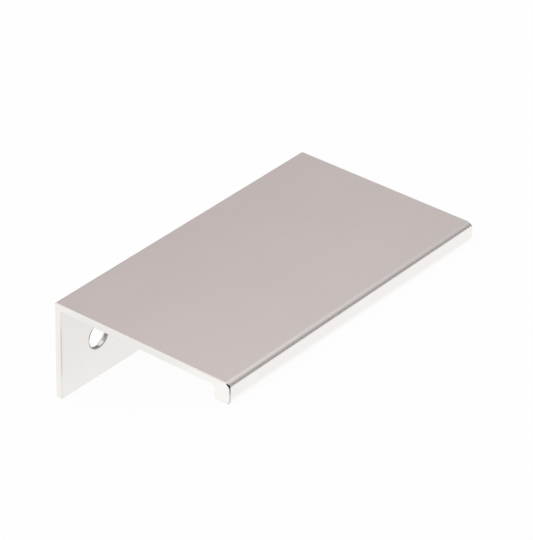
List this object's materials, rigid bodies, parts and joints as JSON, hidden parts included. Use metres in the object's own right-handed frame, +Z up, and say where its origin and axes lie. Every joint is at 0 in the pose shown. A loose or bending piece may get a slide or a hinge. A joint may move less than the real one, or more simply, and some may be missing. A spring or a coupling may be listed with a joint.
{
  "type": "finger pull profile",
  "caption": "Satin aluminium finger pull profile for a cabinet door edge: flat top plate, thick front lip and a rear leg with countersunk screw holes.",
  "frame": {"origin": "centre of the bounding box on the level ground that both feet rest on", "axes": "+X along the sawn length, -Y towards the lip and the user, +Z up; the plate slopes down to the front by 22.48 degrees, as the piece lies unheld"},
  "size_m": [0.07, 0.0442, 0.0189],
  "materials": {
    "satin_aluminium": "satin, lightly warm, very smooth"
  },
  "bodies": {
    "root": {"pull_profile": "satin_aluminium"}
  },
  "joints": []
}
